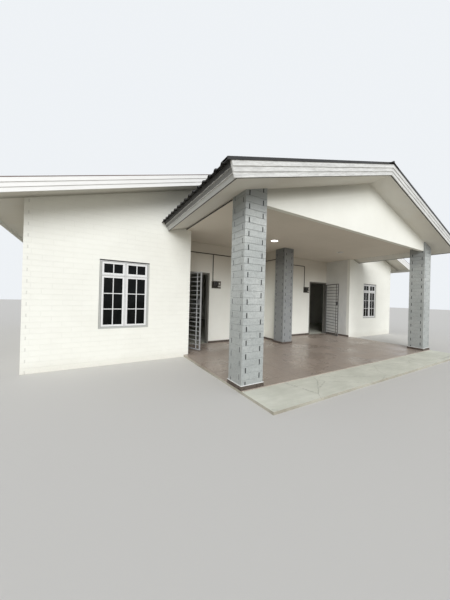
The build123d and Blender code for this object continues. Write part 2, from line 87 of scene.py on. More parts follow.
def addNode(tree, kind, inputs=None, **settings):
    node = tree.nodes.new(kind)
    for key, value in settings.items():
        setattr(node, key, value)
    for key, value in (inputs or {}).items():
        setInput(tree, node.inputs[key], value)
    return node


def mathNode(tree, operation, first, second=0.0, clamp=False):
    inputs = {0: first, 1: second}
    return addNode(tree, "ShaderNodeMath", inputs, operation=operation, use_clamp=clamp).outputs[0]


def times(tree, first, second, clamp=False):
    return mathNode(tree, "MULTIPLY", first, second, clamp)


def plus(tree, first, second):
    return mathNode(tree, "ADD", first, second)


def minus(tree, first, second, clamp=False):
    return mathNode(tree, "SUBTRACT", first, second, clamp)


def sizeOf(tree, value):
    return mathNode(tree, "ABSOLUTE", value)


def isBelow(tree, value, limit):
    return mathNode(tree, "LESS_THAN", value, limit)


def vary(tree, mask, base, amount):
    # the base value, raised by the amount where the mask shows
    return plus(tree, base, times(tree, mask, amount))


def rampNode(tree, value, low, high):
    # spreads the stretch between low and high over 0 to 1
    inputs = {"Value": value, "From Min": low, "From Max": high}
    return addNode(tree, "ShaderNodeMapRange", inputs, clamp=True).outputs["Result"]


def pickValue(tree, factor, first, second):
    return addNode(tree, "ShaderNodeMix", {0: factor, 2: first, 3: second}, data_type="FLOAT").outputs[0]


def mixColour(tree, factor, first, second):
    return addNode(tree, "ShaderNodeMix", {0: factor, 6: first, 7: second}, data_type="RGBA").outputs[2]


def axesOf(tree, vector):
    return addNode(tree, "ShaderNodeSeparateXYZ", {0: vector}).outputs


def noiseNode(tree, place, scale, detail, seed=None):
    # the pair in detail is how fine the noise goes and how rough it is
    inputs = {"Vector": place, "Scale": scale, "Detail": detail[0], "Roughness": detail[1]}
    if seed is None:
        return addNode(tree, "ShaderNodeTexNoise", inputs).outputs["Fac"]
    return addNode(tree, "ShaderNodeTexNoise", {**inputs, "W": seed}, noise_dimensions="4D").outputs["Fac"]


def newGroup(name, inputs, outputs, outputKind="NodeSocketFloat"):
    # inputs are given with their defaults: a number, or three for a vector
    group = bpy.data.node_groups.new(name, "ShaderNodeTree")
    for key, value in inputs.items():
        kind = "NodeSocketFloat" if isinstance(value, float) else "NodeSocketVector"
        group.interface.new_socket(key, in_out="INPUT", socket_type=kind).default_value = value
    for key in outputs:
        group.interface.new_socket(key, in_out="OUTPUT", socket_type=outputKind)
    return group, addNode(group, "NodeGroupInput").outputs, addNode(group, "NodeGroupOutput").inputs


def closeGroup(group, out, **values):
    for key, value in values.items():
        group.links.new(value, out[key])
    return group


def useGroup(tree, group, place, values):
    # the first input of every shared effect is the place that it is read at
    return addNode(tree, "ShaderNodeGroup", {0: place, **values}, node_tree=group).outputs


def newMaterial(name):
    material = bpy.data.materials.new(name)
    material.use_nodes = True
    tree = material.node_tree
    return material, tree, tree.nodes["Principled BSDF"].inputs


# shared effects

origin = (0.0, 0.0, 0.0)
effects = {
    "sidewaysFrom": 0.7,
    "courseShift": (60.0, 60.0, 0.0), "jointSoftness": 0.35, "bondFrom": 0.25,
    "patchDetail": (6.0, 0.62), "patchLevels": (0.42, 0.68), "splashReach": 2.0,
    "grainScale": 90.0, "grainDetail": (4.0, 0.6), "grainLevels": (0.3, 0.7),
    "broadDetail": (5.0, 0.6), "broadLevels": (0.38, 0.66),
    "fineFactor": 6.0, "fineDetail": (3.0, 0.5), "fineLevels": (0.4, 0.65),
    "chipDetail": (8.0, 0.7), "chipLimit": 0.72, "chipSpread": 0.6, "chipSharpness": 18.0,
}


def makeFacePlane():
    # lays a flat pattern on any wall: across the wall in x, up the wall in y
    group, given, out = newGroup(
        "wallPlane", {"Place": origin, "Normal": origin}, ["Plane"], "NodeSocketVector"
    )
    place = axesOf(group, given["Place"])
    turned = sizeOf(group, axesOf(group, given["Normal"])[0])
    sideways = mathNode(group, "GREATER_THAN", turned, effects["sidewaysFrom"])
    across = pickValue(group, sideways, place[0], place[1])
    plane = addNode(group, "ShaderNodeCombineXYZ", {0: across, 1: place[2]}).outputs[0]
    return closeGroup(group, out, Plane=plane)


def makeCourses():
    # joints and the tone of each unit in a laid pattern, bonded or in a plain grid
    group, given, out = newGroup(
        "laidCourses", {"Plane": origin, "UnitLength": 0.3, "UnitHeight": 0.1, "Joint": 0.004, "Bond": 0.0},
        ["JointMask", "UnitTone"],
    )
    shifted = addNode(
        group, "ShaderNodeVectorMath", {0: given["Plane"], 1: effects["courseShift"]}, operation="ADD"
    ).outputs[0]
    inputs = {
        "Vector": shifted, "Scale": 1.0, "Color1": (0, 0, 0), "Color2": (1, 1, 1), "Mortar": (0.5, 0.5, 0.5),
        "Brick Width": given["UnitLength"], "Row Height": given["UnitHeight"],
        "Mortar Size": given["Joint"], "Mortar Smooth": effects["jointSoftness"],
    }
    grid = addNode(group, "ShaderNodeTexBrick", inputs, offset=0.0).outputs
    bricks = addNode(group, "ShaderNodeTexBrick", inputs, offset=0.5).outputs
    bonded = mathNode(group, "GREATER_THAN", given["Bond"], effects["bondFrom"])
    return closeGroup(
        group, out, JointMask=pickValue(group, bonded, grid["Fac"], bricks["Fac"]),
        UnitTone=pickValue(group, bonded, grid["Color"], bricks["Color"]),
    )


def makeGrime():
    # blotches over the whole surface, and a splash band that fades out above the ground
    group, given, out = newGroup(
        "rainGrime", {"Place": origin, "PatchScale": 1.5, "SplashHeight": 0.01, "Seed": 0.0},
        ["Patches", "Splash", "Grain"],
    )
    place, seed = given["Place"], given["Seed"]
    patches = noiseNode(group, place, given["PatchScale"], effects["patchDetail"], seed)
    grain = noiseNode(group, place, effects["grainScale"], effects["grainDetail"], seed)
    ragged = times(group, given["SplashHeight"], times(group, patches, effects["splashReach"]))
    band = minus(group, 1.0, mathNode(group, "DIVIDE", axesOf(group, place)[2], ragged), clamp=True)
    splash = times(group, band, rampNode(group, grain, *effects["grainLevels"]), clamp=True)
    patches = rampNode(group, patches, *effects["patchLevels"])
    return closeGroup(group, out, Patches=patches, Splash=splash, Grain=grain)


def makeStreaks():
    # long marks along one direction, given by how much each axis is squeezed
    group, given, out = newGroup(
        "runStreaks", {"Place": origin, "Squeeze": (1.0, 12.0, 12.0), "Scale": 1.0, "Seed": 0.0},
        ["Streak", "Fine"],
    )
    squeezed = addNode(
        group, "ShaderNodeVectorMath", {0: given["Place"], 1: given["Squeeze"]}, operation="MULTIPLY"
    ).outputs[0]
    broad = noiseNode(group, squeezed, given["Scale"], effects["broadDetail"], given["Seed"])
    fineScale = times(group, given["Scale"], effects["fineFactor"])
    fine = noiseNode(group, squeezed, fineScale, effects["fineDetail"], given["Seed"])
    return closeGroup(
        group, out, Streak=rampNode(group, broad, *effects["broadLevels"]),
        Fine=rampNode(group, fine, *effects["fineLevels"]),
    )


def makeChips():
    # bare spots in a thin coat
    group, given, out = newGroup("coatChips", {"Place": origin, "Scale": 40.0, "Share": 0.1}, ["Chips"])
    noise = noiseNode(group, given["Place"], given["Scale"], effects["chipDetail"])
    edge = minus(group, effects["chipLimit"], times(group, given["Share"], effects["chipSpread"]))
    chips = times(group, minus(group, noise, edge), effects["chipSharpness"], clamp=True)
    return closeGroup(group, out, Chips=chips)


wallPlane, laidCourses, runStreaks = makeFacePlane(), makeCourses(), makeStreaks()
coatEffects = [makeGrime(), runStreaks, makeChips(), laidCourses]
print("shared effects ready")


# finishes: each names the shared effects that it reads, with their settings, and its coats in the
# order they are laid, as the mask where a coat shows, its share there and its colour's name


def makeCoat(name, look, addMasks=None):
    # coats and reliefs whose mask this finish doesn't have are left out
    material, tree, shader = newMaterial(name)
    place = addNode(tree, "ShaderNodeTexCoord").outputs
    masks = {}
    for effect in coatEffects:
        if effect.name in look:
            masks.update(useGroup(tree, effect, place["Object"], look[effect.name]).items())
    if addMasks:
        addMasks(tree, place, axesOf(tree, place["Object"]), masks, look)
    colour = look["base"]
    for mask, share, coat in look["coats"]:
        if mask in masks:
            colour = mixColour(tree, times(tree, masks[mask], share), colour, look[coat])
    setInput(tree, shader["Base Color"], colour)
    roughness = look["roughness"]
    if isinstance(roughness, tuple):
        roughness = vary(tree, masks[roughness[0]], *roughness[1:])
    setInput(tree, shader["Roughness"], roughness)
    relief = look.get("relief", {})
    raised = [times(tree, masks[mask], amount) for mask, amount in relief.items() if mask in masks]
    if raised:
        height = raised[0]
        for more in raised[1:]:
            height = plus(tree, height, more)
        inputs = {"Height": height, "Distance": look["bump"][0], "Strength": look["bump"][1]}
        setInput(tree, shader["Normal"], addNode(tree, "ShaderNodeBump", inputs).outputs[0])
    for key, value in look.get("shader", {}).items():
        shader[key].default_value = value
    if "glow" in look:
        shader["Emission Strength"].default_value = look["glow"]
        setInput(tree, shader["Emission Color"], colour)
    return material


wallPaint = {
    "rainGrime": {"PatchScale": 0.9, "SplashHeight": 0.22},
    "base": (0.885, 0.893, 0.835), "shade": (0.80, 0.80, 0.74), "joint": (0.70, 0.70, 0.68),
    "slot": (0.36, 0.36, 0.34), "indoorShadeColour": (0.62, 0.57, 0.49), "soffitShadowColour": (0.34, 0.33, 0.285),
    "splash": (0.52, 0.49, 0.42),
    "coats": [
        ("Patches", 0.55, "shade"), ("WornJoint", 0.22, "joint"), ("UnitTone", 0.09, "shade"),
        ("Slots", 0.28, "slot"), ("IndoorShade", 0.8, "indoorShadeColour"), ("SoffitShadow", 1.0, "soffitShadowColour"),
        ("Splash", 0.55, "splash"),
    ],
    "roughness": ("Grain", 0.62, 0.2), "relief": {"Grain": 0.25, "JointMask": -0.6, "Slots": -1.0},
    "bump": (0.0035, 0.8),
    "block": (0.3, 0.1), "jointWidth": 0.0035, "jointWear": (-0.25, 0.9),
    "slotFromCorner": 0.063, "slotWidth": 0.016, "slotHeight": 0.28, "slotDepth": 0.01,
    "indoorLevels": (1.7, 2.7),
    "dustLevels": (3.83, 4.0), "dustShare": (0.15, 0.65), "leftSide": (0.6, -1.4),
}


def addWallJoints(tree, place, spot, masks, look):
    # block joints and, near both ends of the front wall, open upright joints at every second course
    plane = useGroup(tree, wallPlane, place["Object"], {"Normal": place["Normal"]})["Plane"]
    length, height = look["block"]
    blocks = {"UnitLength": length, "UnitHeight": height, "Joint": look["jointWidth"], "Bond": 1.0}
    masks.update(useGroup(tree, laidCourses, plane, blocks).items())
    masks["WornJoint"] = times(tree, masks["JointMask"], rampNode(tree, masks["Patches"], *look["jointWear"]))
    slotX = -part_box("left_front_wall")[0].x - look["slotFromCorner"]
    aside = sizeOf(tree, minus(tree, sizeOf(tree, spot[0]), slotX))
    course = mathNode(tree, "FRACT", mathNode(tree, "DIVIDE", spot[2], 2 * height))
    inSlot = isBelow(tree, aside, look["slotWidth"] / 2)
    inFront = isBelow(tree, spot[1], look["slotDepth"])
    masks["Slots"] = times(tree, times(tree, inSlot, inFront), isBelow(tree, course, look["slotHeight"]))


def addIndoorShade(tree, place, spot, masks, look):
    # painted shade: the porch's walls turn darker and browner towards the ceiling
    masks["IndoorShade"] = rampNode(tree, spot[2], *look["indoorLevels"])


def addSoffitShadow(tree, place, spot, masks, look):
    # painted shadow under the soffit, deeper on the left slope
    underRoof = rampNode(tree, vary(tree, sizeOf(tree, spot[0]), spot[2], roofSlope), *look["dustLevels"])
    onLeft = vary(tree, rampNode(tree, spot[0], *look["leftSide"]), *look["dustShare"])
    masks["SoffitShadow"] = times(tree, underRoof, onLeft)


# white paint made duller as painted shade for the walls at the sides of the recess, with patches, rubbing low
# down and splash over it
shadedRender = {
    "rainGrime": {"PatchScale": 2.2, "SplashHeight": 0.5, "Seed": 14.0},
    "runStreaks": {"Squeeze": (4.0, 4.0, 1.0), "Scale": 2.2, "Seed": 3.0},
    "base": (0.76, 0.765, 0.735), "shade": (0.64, 0.64, 0.6), "rubbed": (0.52, 0.535, 0.54),
    "splash": (0.52, 0.49, 0.42),
    "coats": [("Patches", 0.4, "shade"), ("Rubbed", 0.8, "rubbed"), ("Splash", 0.5, "splash")],
    "roughness": 0.7, "relief": {"Grain": 1.0}, "bump": (0.002, 0.6),
    "rubbedLevels": (1.7, 0.7), "smears": (0.35, 0.65),
}


def addRubbing(tree, place, spot, masks, look):
    # rubbed to a streaky grey low down
    low = rampNode(tree, spot[2], *look["rubbedLevels"])
    masks["Rubbed"] = times(tree, low, vary(tree, masks["Streak"], *look["smears"]))


blockCoat = {
    "rainGrime": {"PatchScale": 2.6, "SplashHeight": 0.25, "Seed": 3.0},
    "runStreaks": {"Squeeze": (9.0, 9.0, 1.0), "Scale": 3.0},
    "coatChips": {"Scale": 48.0, "Share": 0.32},
    "coats": [
        ("Patches", 1.0, "pale"), ("Fine", 0.35, "deep"), ("Chips", 0.45, "deep"), ("Splash", 0.6, "splash"),
        ("Low", 0.5, "deep"), ("SootAndShade", 0.85, "deep"),
    ],
    "roughness": ("Patches", 0.45, 0.25), "relief": {"Grain": 0.5, "Chips": -1.0}, "bump": (0.003, 0.8),
    "lowLevels": (2.0, 0.0), "sootLevels": (2.72, 3.0), "sootDrop": 0.3, "sootRagged": 0.15,
    "turnedLeft": -0.5,
}
greyPaint = {
    **blockCoat, "base": (0.49, 0.52, 0.51), "pale": (0.60, 0.625, 0.61), "deep": (0.30, 0.32, 0.32),
    "splash": (0.33, 0.315, 0.28),
}
# a darker copy of the grey paint, as painted shade for the column standing inside the porch
shadedGreyPaint = {
    **blockCoat, "base": (0.31, 0.325, 0.33), "pale": (0.40, 0.415, 0.41), "deep": (0.21, 0.22, 0.225),
    "splash": (0.25, 0.24, 0.22),
}


def addSootAndShade(tree, place, spot, masks, look):
    # darker low down, and darker under the roof with soot and painted shade, which reaches lower on the faces
    # turned left
    turned = isBelow(tree, axesOf(tree, place["Normal"])[0], look["turnedLeft"])
    ragged = vary(tree, masks["Patches"], vary(tree, turned, spot[2], look["sootDrop"]), look["sootRagged"])
    masks["Low"] = rampNode(tree, spot[2], *look["lowLevels"])
    masks["SootAndShade"] = rampNode(tree, ragged, *look["sootLevels"])


mortarLook = {
    "rainGrime": {"PatchScale": 9.0},
    "base": (0.017, 0.0175, 0.018), "pale": (0.03, 0.031, 0.032), "coats": [("Patches", 1.0, "pale")],
    "roughness": 0.9, "relief": {"Grain": 1.0}, "bump": (0.004, 1.0),
}

# flat boards with filled joints; they lie close to level, so the plan gives the pattern
boardPaint = {
    "rainGrime": {"PatchScale": 0.8, "Seed": 8.0},
    "laidCourses": {"UnitLength": 1.2, "UnitHeight": 0.6, "Joint": 0.003},
    "base": (0.75, 0.70, 0.62), "stain": (0.66, 0.62, 0.54), "joint": (0.42, 0.40, 0.36),
    "corner": (0.25, 0.245, 0.21),
    "coats": [("Patches", 0.6, "stain"), ("JointMask", 0.22, "joint"), ("Corner", 0.75, "corner")],
    "roughness": 0.75, "relief": {"Grain": 0.2, "JointMask": -1.0}, "bump": (0.0015, 0.6),
    "cornerReach": (-0.17, 0.0), "cornerEnd": 0.01,
}
soffitPaint = {**boardPaint, "base": (0.72, 0.71, 0.665)}


def addCornerShade(tree, place, spot, masks, look):
    # painted shade in the corner just in front of the wall
    inFront = isBelow(tree, spot[1], look["cornerEnd"])
    masks["Corner"] = times(tree, rampNode(tree, spot[1], *look["cornerReach"]), inFront)


def fasciaLook(paint, weather, amount):
    return {
        "rainGrime": {"PatchScale": 3.0, "Seed": 5.0},
        "coatChips": {"Scale": 14.0, "Share": 0.12 * amount},
        "slopeStreaks": {"Squeeze": (1.6, 1.6, 22.0), "Scale": 1.4},
        "base": paint, "weather": weather, "bare": (0.25, 0.22, 0.19),
        "coats": [
            ("Worn", 0.5 * amount, "weather"), ("Patches", 0.3 * amount, "weather"), ("Chips", 0.7, "bare"),
        ],
        "roughness": ("Worn", 0.45, 0.15 * amount), "relief": {"Fine": 1.0}, "bump": (0.0008, 0.5),
    }


mainFascia = fasciaLook((0.86, 0.865, 0.855), (0.66, 0.655, 0.64), 0.35)
porchFascia = fasciaLook((0.84, 0.85, 0.835), (0.40, 0.40, 0.39), 0.85)


def addSlopeStreaks(tree, place, spot, masks, look):
    # painted boards, weathered in streaks that follow the roof's slope
    level = vary(tree, sizeOf(tree, spot[0]), spot[2], roofSlope)
    boards = addNode(tree, "ShaderNodeCombineXYZ", {0: spot[0], 1: spot[1], 2: level}).outputs[0]
    masks.update(useGroup(tree, runStreaks, boards, look["slopeStreaks"]).items())
    masks["Worn"] = plus(tree, masks["Streak"], masks["Fine"])


# the eave's boards: the gable fascia's white darkened as painted shade, and streaked by weather
eaveShade = {
    "runStreaks": {"Squeeze": (9.0, 1.2, 18.0), "Scale": 1.4},
    "base": (0.47, 0.475, 0.46), "weather": (0.40, 0.40, 0.39), "middle": (0.15, 0.15, 0.143),
    "dark": (0.035, 0.035, 0.033), "paleLip": (0.84, 0.85, 0.835),
    "coats": [
        ("Streak", 0.6, "weather"), ("LowStain", 0.9, "middle"), ("LowLip", 0.5, "paleLip"),
        ("TopStain", 0.95, "dark"), ("TopLip", 0.5, "paleLip"),
    ],
    "roughness": 0.6, "relief": {"Fine": 1.0}, "bump": (0.0008, 0.5),
    "feet": {"Low": 2.966, "Top": 3.024}, "ragged": 0.008, "fade": 0.006, "lip": 0.006, "lipEdge": 0.001,
}


def addEaveShade(tree, place, spot, masks, look):
    # painted shade: the two upper boards are darkened as if under the sheets' shade, above pale lower lips
    # painted as highlights where their edges catch the light
    ragged = vary(tree, masks["Fine"], spot[2], look["ragged"])
    for board, foot in look["feet"].items():
        shadeFoot = foot + look["lip"]
        shaded = rampNode(tree, ragged, shadeFoot, shadeFoot + look["fade"])
        aboveFoot = rampNode(tree, spot[2], foot - look["lipEdge"], foot)
        masks[board + "Stain"] = shaded
        masks[board + "Lip"] = times(tree, aboveFoot, minus(tree, 1.0, shaded))


# coated steel sheet, streaked down the slope, dirt settled in patches
sheetCoat = {
    "rainGrime": {"PatchScale": 1.1, "Seed": 6.0},
    "runStreaks": {"Squeeze": (0.7, 9.0, 0.7), "Scale": 1.6, "Seed": 2.0},
    "coatChips": {"Scale": 9.0, "Share": 0.05},
    "rust": (0.22, 0.10, 0.05),
    "coats": [("Streak", 0.75, "faded"), ("Patches", 0.45, "dirt"), ("Chips", 0.5, "rust")],
    "relief": {"Fine": 1.0}, "bump": (0.0006, 0.5),
}
mainSheet = {
    **sheetCoat, "base": (0.105, 0.048, 0.042), "faded": (0.175, 0.105, 0.095), "dirt": (0.06, 0.045, 0.04),
    "roughness": ("Patches", 0.52, 0.3),
}
porchSheet = {
    **sheetCoat, "base": (0.012, 0.012, 0.013), "faded": (0.034, 0.034, 0.035), "dirt": (0.065, 0.058, 0.045),
    "roughness": ("Patches", 0.42, 0.3),
}

floorTile = {
    "rainGrime": {"PatchScale": 1.3, "Seed": 11.0},
    "runStreaks": {"Squeeze": (1.6, 8.0, 1.0), "Scale": 2.6, "Seed": 5.0},
    "coatChips": {"Scale": 22.0, "Share": 0.4},
    "laidCourses": {"UnitLength": 0.4, "UnitHeight": 0.4, "Joint": 0.004},
    "base": (0.34, 0.28, 0.24), "warm": (0.385, 0.31, 0.26), "dust": (0.50, 0.445, 0.39),
    "scuff": (0.60, 0.55, 0.49), "grout": (0.21, 0.18, 0.15),
    "coats": [
        ("UnitTone", 1.0, "warm"), ("Chips", 0.2, "dust"), ("Scuffs", 0.42, "scuff"), ("Patches", 0.4, "dust"),
        ("JointMask", 0.85, "grout"),
    ],
    "roughness": ("Patches", 0.27, 0.35), "relief": {"Grain": 0.08, "JointMask": -1.0}, "bump": (0.002, 0.7),
    "scuffLevels": (0.4, 0.9),
}


def addScuffs(tree, place, spot, masks, look):
    masks["Scuffs"] = rampNode(tree, masks["Fine"], *look["scuffLevels"])


cementLook = {
    "rainGrime": {"PatchScale": 1.7, "Seed": 4.0},
    "runStreaks": {"Squeeze": (1.0, 3.0, 1.0), "Scale": 3.0, "Seed": 1.0},
    "base": (0.69, 0.70, 0.61), "pale": (0.78, 0.785, 0.70), "damp": (0.56, 0.57, 0.49),
    "crack": (0.26, 0.25, 0.21), "edge": (0.30, 0.275, 0.22),
    "coats": [
        ("Streak", 1.0, "pale"), ("Patches", 0.6, "damp"), ("Crack", 0.4, "crack"), ("Edge", 1.0, "edge"),
    ],
    "roughness": 0.85, "relief": {"Grain": 0.5, "Crack": -1.0}, "bump": (0.004, 0.8),
    "crackScale": 0.9, "crackWander": 0.012, "crackWidth": (0.004, 0.012), "steepFrom": 0.5,
    "mud": (0.6, 0.35),
}


def addCracks(tree, place, spot, masks, look):
    # a few cracks in the trowelled cement, and mud on its upright edges
    inputs = {"Vector": place["Object"], "Scale": look["crackScale"]}
    cells = addNode(tree, "ShaderNodeTexVoronoi", inputs, feature="DISTANCE_TO_EDGE").outputs["Distance"]
    wander = vary(tree, masks["Fine"], cells, look["crackWander"])
    masks["Crack"] = minus(tree, 1.0, rampNode(tree, wander, *look["crackWidth"]))
    steep = isBelow(tree, axesOf(tree, place["Normal"])[2], look["steepFrom"])
    masks["Edge"] = times(tree, steep, vary(tree, masks["Patches"], *look["mud"]))


def woodLook(dark, light, squeeze):
    return {
        "runStreaks": {"Squeeze": squeeze, "Scale": 2.4, "Seed": 9.0},
        "base": dark, "light": light, "coats": [("Streak", 1.0, "light"), ("Fine", 0.4, "base")],
        "roughness": ("Fine", 0.42, 0.2), "relief": {"Fine": 1.0}, "bump": (0.0008, 0.6),
    }


doorStain = woodLook((0.12, 0.118, 0.105), (0.20, 0.195, 0.175), (14.0, 14.0, 1.0))
meterBoardWood = woodLook((0.055, 0.05, 0.038), (0.10, 0.09, 0.07), (1.0, 12.0, 12.0))

tintedGlass = {
    "rainGrime": {"PatchScale": 4.0, "Seed": 12.0},
    "base": (0.004, 0.005, 0.005), "dusty": (0.010, 0.011, 0.011), "coats": [("Patches", 1.0, "dusty")],
    "roughness": ("Patches", 0.04, 0.08), "shader": {"Transmission Weight": 0.2, "IOR": 1.2},
}
litDiffuser = {
    "rainGrime": {"PatchScale": 12.0},
    "base": (1.0, 0.98, 0.92), "dusty": (0.9, 0.86, 0.76), "coats": [("Patches", 0.2, "dusty")],
    "roughness": 0.4, "glow": 4.0,
}


def plainLook(colour, worn, roughness, metallic=0.0):
    # a thin even coat on a small piece, with dulled patches and a few bare spots
    return {
        "rainGrime": {"PatchScale": 6.0, "Seed": 7.0}, "coatChips": {"Scale": 30.0, "Share": 0.1},
        "base": colour, "worn": worn, "coats": [("Patches", 0.4, "worn"), ("Chips", 0.6, "worn")],
        "roughness": ("Patches", roughness - 0.05, 0.15), "relief": {"Grain": 1.0}, "bump": (0.0006, 0.5),
        "shader": {"Metallic": metallic},
    }


# each with its look and, where it has masks of its own, what adds them
coats = {
    "whiteWall": (wallPaint, addWallJoints),
    "whiteRender": (wallPaint,),
    "porchRender": (wallPaint, addIndoorShade),
    "gableRender": (wallPaint, addSoffitShadow),
    "shadedRender": (shadedRender, addRubbing),
    "greyBlock": (greyPaint, addSootAndShade),
    "shadedBlock": (shadedGreyPaint, addSootAndShade),
    "mortar": (mortarLook,),
    "ceiling": (boardPaint,),
    "soffit": (soffitPaint, addCornerShade),
    "mainFascia": (mainFascia, addSlopeStreaks),
    "porchFascia": (porchFascia, addSlopeStreaks),
    "porchEave": (eaveShade, addEaveShade),
    "mainSheet": (mainSheet,),
    "porchSheet": (porchSheet,),
    "floorTile": (floorTile, addScuffs),
    "cement": (cementLook, addCracks),
    "screed": (cementLook, addCracks),
    "glass": (tintedGlass,),
    "doorWood": (doorStain,),
    "boardWood": (meterBoardWood,),
    "lightOn": (litDiffuser,),
}
# each with its colour, its worn colour, how rough and how metallic it is
plainCoats = {
    "skirtingTile": ((0.085, 0.066, 0.056), (0.16, 0.135, 0.115), 0.3),
    "windowCoat": ((0.80, 0.81, 0.81), (0.66, 0.665, 0.66), 0.4),
    # a greyer copy of the sash white, as painted shade of the window's reveal on its outer frame
    "shadedWindowOuter": ((0.47, 0.48, 0.46), (0.38, 0.385, 0.37), 0.45),
    # also the black of the painted shadow strips at the window heads, the soffit edges and along the beams
    "gasket": ((0.03, 0.03, 0.032), (0.08, 0.08, 0.08), 0.7),
    "gatePaint": ((0.42, 0.43, 0.435), (0.27, 0.275, 0.275), 0.45, 0.1),
    # a darker copy of the gate paint for the right gate: painted shade, and dirt
    "gateShadeAndDirt": ((0.13, 0.13, 0.125), (0.09, 0.088, 0.085), 0.5, 0.1),
    "steel": ((0.30, 0.31, 0.32), (0.18, 0.16, 0.15), 0.4, 0.8),
    "screw": ((0.42, 0.42, 0.42), (0.26, 0.22, 0.19), 0.4, 0.8),
    "meterCase": ((0.018, 0.016, 0.013), (0.04, 0.037, 0.03), 0.4),
    "meterPale": ((0.58, 0.57, 0.53), (0.45, 0.43, 0.39), 0.4),
    "conduit": ((0.040, 0.036, 0.029), (0.028, 0.025, 0.02), 0.5),
    "lightRim": ((0.78, 0.78, 0.76), (0.62, 0.61, 0.58), 0.35),
    "lightOff": ((0.62, 0.61, 0.585), (0.52, 0.50, 0.46), 0.3),
}
finish = {name: makeCoat(name, *coat) for name, coat in coats.items()}
for name, values in plainCoats.items():
    finish[name] = makeCoat(name, plainLook(*values))
print("finishes ready:", len(finish))

nodeFinish = {
    "whiteWall": ["left_front_wall", "right_front_wall", "left_side_wall", "right_side_wall", "rear_wall"],
    "whiteRender": ["front_gable_wall"],
    "gableRender": ["porch_gable_wall"],
    "porchRender": ["entry_wall", "door_lintels", "party_fin_wall"],
    "shadedRender": ["recess_side_walls"],
    "ceiling": ["house_ceiling", "porch_ceiling", "porch_side_beams"],
    "soffit": ["main_gable_soffits", "main_eave_soffits", "porch_soffits"],
    "mainFascia": ["main_gable_fascias", "main_eave_fascias"],
    "porchFascia": ["porch_gable_fascia"],
    "porchEave": ["porch_eave_fascias"],
    "mainSheet": ["main_roof_left", "main_roof_right", "main_ridge_cap", "main_verge_caps"],
    "porchSheet": ["porch_roof_left", "porch_roof_right", "porch_ridge_cap", "porch_verge_caps"],
    "floorTile": ["porch_tiles"],
    "cement": ["porch_slab"],
    "screed": ["house_floor"],
    "skirtingTile": ["tile_skirtings"],
    "glass": ["window_glass"],
    "steel": ["gate_hinge_pins"],
    "conduit": ["wall_conduits"],
}
for finishName, names in nodeFinish.items():
    for name in names:
        cadNodes[name].data.materials.clear()
        cadNodes[name].data.materials.append(finish[finishName])
print("frame nodes finished:", sum(len(names) for names in nodeFinish.values()))


# building pieces

lying = Matrix.Rotation(math.pi / 2, 4, "X")
sharpAngle = math.radians(35)


def addBox(bm, low, high, turn=None):
    low, high = Vector(low), Vector(high)
    place = Matrix.Translation((low + high) / 2) @ Matrix.Diagonal((*(high - low), 1.0))
    return bmesh.ops.create_cube(bm, size=1.0, matrix=place if turn is None else turn @ place)["verts"]


def addRing(bm, low, high, width):
    # an upright ring of four bars, whose sill and head take the full width
    (x0, y0, z0), (x1, y1, z1) = low, high
    addBox(bm, low, (x1, y1, z0 + width))
    addBox(bm, (x0, y0, z1 - width), high)
    addBox(bm, (x0, y0, z0 + width), (x0 + width, y1, z1 - width))
    addBox(bm, (x1 - width, y0, z0 + width), (x1, y1, z1 - width))


def addRound(bm, radius, depth, place, sides):
    bmesh.ops.create_cone(
        bm, cap_ends=True, segments=sides, radius1=radius, radius2=radius, depth=depth, matrix=place
    )


def softenEdges(bm, width, segments=1):
    bmesh.ops.bevel(
        bm, geom=list(bm.edges), offset=width, offset_type="OFFSET", affect="EDGES",
        segments=segments, profile=0.5, material=-1, clamp_overlap=True,
    )


def makePiece(name, bm, finishName, body="root", place=None, smooth=False):
    if place is not None:
        bmesh.ops.transform(bm, matrix=place, verts=bm.verts)
    bmesh.ops.recalc_face_normals(bm, faces=bm.faces)
    mesh = bpy.data.meshes.new(name)
    bm.to_mesh(mesh)
    bm.free()
    mesh.materials.append(finish[finishName])
    if smooth:
        mesh.shade_smooth()
        mesh.set_sharp_from_angle(angle=sharpAngle)
    piece = addObject(name, mesh)
    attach(piece, body)
    return piece


# block columns, laid in a pinwheel of four blocks that turns over at each course

blockwork = {
    "blockThickness": 0.063, "firstCourse": 0.038, "courseHeight": 0.1034, "bedJoint": (0.001, 0.005),
    "uprightJoint": 0.019, "slotFill": (0.022, 0.002), "slotLap": 0.0004, "mortarDepth": 0.005,
    "mortarGap": 0.0005, "coreInset": 0.03, "coreTop": 0.002, "roofCut": 0.125, "softEdge": 0.0015,
    "unevenness": 0.0012, "seed": 41,
}


def withTurned(plan, width):
    # a course's plan, and the same turned over for every second course
    return plan, [(width - x1, y0, width - x0, y1) for x0, y0, x1, y1 in plan]


